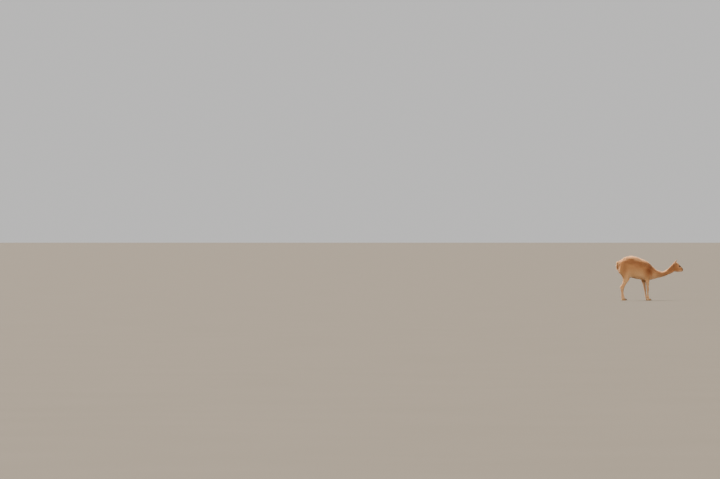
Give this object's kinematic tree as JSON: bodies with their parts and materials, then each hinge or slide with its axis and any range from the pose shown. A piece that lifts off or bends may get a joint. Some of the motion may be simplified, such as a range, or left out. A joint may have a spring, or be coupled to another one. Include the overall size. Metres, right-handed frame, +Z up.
{
  "type": "vicuna",
  "caption": "Life-size standing vicuna with its long neck reaching low and forward, head raised, in woolly tan and cinnamon coat.",
  "frame": {"origin": "on the ground under the middle of the animal's length and width", "axes": "+X towards the nose, +Y to the animal's left, +Z up"},
  "size_m": [1.3516, 0.3563, 0.9014],
  "materials": {
    "wool": "dense woolly fleece, cinnamon on the back and pale on the belly",
    "face": "short flat tan fur",
    "shank": "short pale fawn fur",
    "eye": "wet dark brown",
    "nail": "dull dark horn"
  },
  "bodies": {
    "root": {"ear_left": "face", "ear_right": "face", "eye_left": "eye", "eye_right": "eye", "foreleg_left_foot": "shank", "foreleg_left_nail_left": "nail", "foreleg_left_nail_right": "nail", "foreleg_left_shank": "shank", "foreleg_left_upper": "shank", "foreleg_right_foot": "shank", "foreleg_right_nail_left": "nail", "foreleg_right_nail_right": "nail", "foreleg_right_shank": "shank", "foreleg_right_upper": "shank", "head": "face", "hindleg_left_foot": "shank", "hindleg_left_nail_left": "nail", "hindleg_left_nail_right": "nail", "hindleg_left_shank": "shank", "hindleg_left_upper": "shank", "hindleg_right_foot": "shank", "hindleg_right_nail_left": "nail", "hindleg_right_nail_right": "nail", "hindleg_right_shank": "shank", "hindleg_right_upper": "shank", "neck_lower": "wool", "neck_upper": "wool", "tail": "wool", "torso": "wool"}
  },
  "joints": []
}
